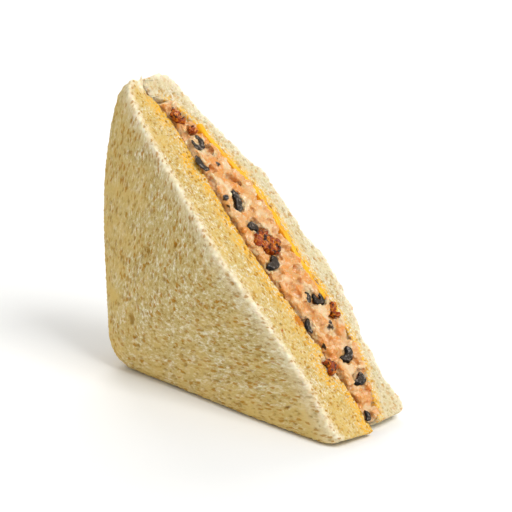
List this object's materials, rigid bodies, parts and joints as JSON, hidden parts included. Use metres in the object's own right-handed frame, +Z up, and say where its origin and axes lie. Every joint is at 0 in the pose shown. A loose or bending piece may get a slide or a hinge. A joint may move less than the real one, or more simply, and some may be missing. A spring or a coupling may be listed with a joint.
{
  "type": "ham salad sandwich half",
  "caption": "Triangular half of a crustless white-bread sandwich on its short side, filled with creamy ham salad, cheese, black olives and bacon.",
  "frame": {"origin": "middle of the floor of the whole sandwich's box, with the sandwich standing on one short side", "axes": "+Z up, +X from the square corner along the lower short side towards the bottom tip, +Y through the layers from the front slice to the back slice"},
  "size_m": [0.1048, 0.0476, 0.0982],
  "materials": {
    "bread": "open white-bread crumb",
    "ham_salad": "creamy, moist",
    "cheese": "soft sheen",
    "olive": "wet",
    "bacon": "greasy"
  },
  "bodies": {
    "root": {"bread_front": "bread", "bread_back": "bread", "ham_salad": "ham_salad", "cheese_slice": "cheese", "olive_01": "olive", "olive_02": "olive", "olive_03": "olive", "olive_04": "olive", "olive_05": "olive", "olive_06": "olive", "olive_07": "olive", "olive_08": "olive", "olive_09": "olive", "olive_10": "olive", "olive_11": "olive", "bacon_1": "bacon", "bacon_2": "bacon", "bacon_3": "bacon", "bacon_4": "bacon", "bacon_5": "bacon"}
  },
  "joints": []
}
